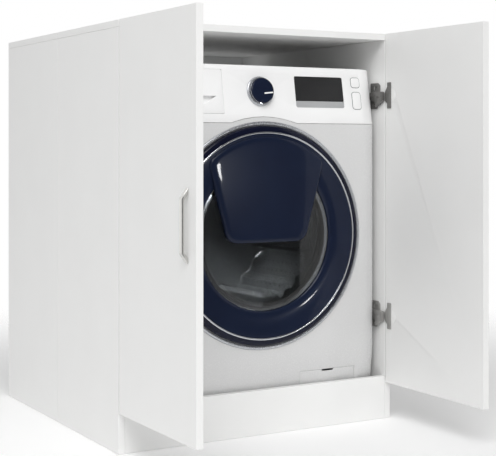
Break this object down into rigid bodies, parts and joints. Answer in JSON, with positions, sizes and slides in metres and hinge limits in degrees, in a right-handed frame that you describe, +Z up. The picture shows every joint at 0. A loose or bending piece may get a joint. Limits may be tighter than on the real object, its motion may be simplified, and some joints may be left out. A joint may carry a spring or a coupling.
{
  "type": "laundry cabinet with washing machine",
  "caption": "White two-door laundry cabinet with open doors, bow handles and concealed hinges, around a white front-loading washing machine with a dark blue door.",
  "frame": {"origin": "on the floor, at the middle of the plinth board's underside", "axes": "+X to the right seen from the front, +Y to the back, +Z up"},
  "size_m": [0.7336, 1.054, 0.915],
  "materials": {
    "white_board": "white melamine faced board with matching edging",
    "hinge_steel": "nickel plated pressed steel",
    "handle_metal": "satin nickel",
    "white_enamel": "white enamelled sheet steel",
    "white_worktop": "white laminated board",
    "white_plastic": "white moulded plastic",
    "silver_trim": "bright silver trim",
    "navy_gloss": "dark blue gloss",
    "dark_glass": "tinted cover",
    "display_glass": "black display cover",
    "clear_glass": "pressed glass",
    "gasket_rubber": "grey moulded rubber",
    "stainless": "stainless steel",
    "zinc_sheet": "galvanised sheet",
    "grey_plastic": "grey moulded plastic",
    "black_rubber": "black rubber",
    "concrete": "cast concrete",
    "cast_aluminium": "cast aluminium"
  },
  "bodies": {
    "carcass": {"control_fascia": "white_plastic", "counterweight": "concrete", "display_strip": "silver_trim", "display_window": "display_glass", "door_bezel": "silver_trim", "door_gasket": "gasket_rubber", "drive_belt": "black_rubber", "filter_flap": "white_plastic", "foot_front_left": "black_rubber", "foot_front_right": "black_rubber", "foot_rear_left": "black_rubber", "foot_rear_right": "black_rubber", "front_panel": "white_enamel", "knob_ring": "silver_trim", "left_lower_hinge_arm": "hinge_steel", "left_side_front_board": "white_board", "left_side_rear_board": "white_board", "left_upper_hinge_arm": "hinge_steel", "machine_base": "grey_plastic", "machine_left_side": "white_enamel", "machine_lid": "white_worktop", "machine_rear_panel": "zinc_sheet", "machine_right_side": "white_enamel", "motor": "cast_aluminium", "plinth_board": "white_board", "rear_bottom_rail": "white_board", "rear_top_rail": "white_board", "right_lower_hinge_arm": "hinge_steel", "right_side_front_board": "white_board", "right_side_rear_board": "white_board", "right_upper_hinge_arm": "hinge_steel", "top_front_board": "white_board", "top_rear_board": "white_board", "tub_damper_left": "grey_plastic", "tub_damper_right": "grey_plastic", "tub_front_half": "grey_plastic", "tub_rear_half": "grey_plastic", "tub_spring_left": "stainless", "tub_spring_right": "stainless"},
    "left_door": {"left_door_panel": "white_board", "left_door_handle": "handle_metal", "left_lower_hinge_cup": "hinge_steel", "left_upper_hinge_cup": "hinge_steel"},
    "right_door": {"right_door_panel": "white_board", "right_door_handle": "handle_metal", "right_lower_hinge_cup": "hinge_steel", "right_upper_hinge_cup": "hinge_steel"},
    "washer_door": {"door_frame": "navy_gloss", "door_trim_ring": "silver_trim", "door_window_cover": "dark_glass", "door_glass_bowl": "clear_glass"},
    "add_in_hatch": {"add_in_hatch": "navy_gloss"},
    "drum": {"drum": "stainless", "drum_shaft": "cast_aluminium", "drum_pulley": "cast_aluminium"},
    "motor_rotor": {"motor_pulley": "stainless"},
    "program_knob": {"program_knob": "navy_gloss"},
    "power_button": {"power_button": "white_plastic"},
    "start_button": {"start_button": "white_plastic"},
    "detergent_drawer": {"detergent_drawer": "white_plastic"}
  },
  "joints": [
    {"name": "left_door_hinge", "type": "hinge", "parent": "carcass", "child": "left_door", "pos_m": [-0.345, -0.0185, 0.5], "axis": [0, 0, -1], "range_deg": [-90, 20]},
    {"name": "right_door_hinge", "type": "hinge", "parent": "carcass", "child": "right_door", "pos_m": [0.345, -0.0185, 0.5], "axis": [0, 0, 1], "range_deg": [-90, 20]},
    {"name": "washer_door_hinge", "type": "hinge", "parent": "carcass", "child": "washer_door", "pos_m": [-0.2385, 0.0005, 0.446], "axis": [0, 0, -1], "range_deg": [0, 95]},
    {"name": "add_in_hatch_hinge", "type": "hinge", "parent": "washer_door", "child": "add_in_hatch", "pos_m": [0.1635, -0.0075, 0.546], "axis": [0, 0, 1], "range_deg": [0, 100]},
    {"name": "drum_spin", "type": "hinge", "parent": "carcass", "child": "drum", "pos_m": [0.0135, 0.2565, 0.446], "axis": [0, 1, 0], "continuous": true},
    {"name": "motor_spin", "type": "hinge", "parent": "carcass", "child": "motor_rotor", "pos_m": [0.0835, 0.4765, 0.112], "axis": [0, 1, 0], "continuous": true},
    {"name": "knob_turn", "type": "hinge", "parent": "carcass", "child": "program_knob", "pos_m": [0.008, 0.01893, 0.77194], "axis": [0, -0.9854, 0.1702], "continuous": true},
    {"name": "power_button_push", "type": "slide", "parent": "carcass", "child": "power_button", "axis": [0, 0.9854, -0.1702], "range_m": [0, 0.0015], "stiffness_N_per_m": 400, "springref_m": -0.002},
    {"name": "start_button_push", "type": "slide", "parent": "carcass", "child": "start_button", "axis": [0, 0.9854, -0.1702], "range_m": [0, 0.0015], "stiffness_N_per_m": 400, "springref_m": -0.002},
    {"name": "detergent_drawer_slide", "type": "slide", "parent": "carcass", "child": "detergent_drawer", "axis": [0, -1, 0], "range_m": [0, 0.24]}
  ],
  "couplings": [
    {"joint": "motor_spin", "follows": "drum_spin", "ratio": 12.5}
  ]
}
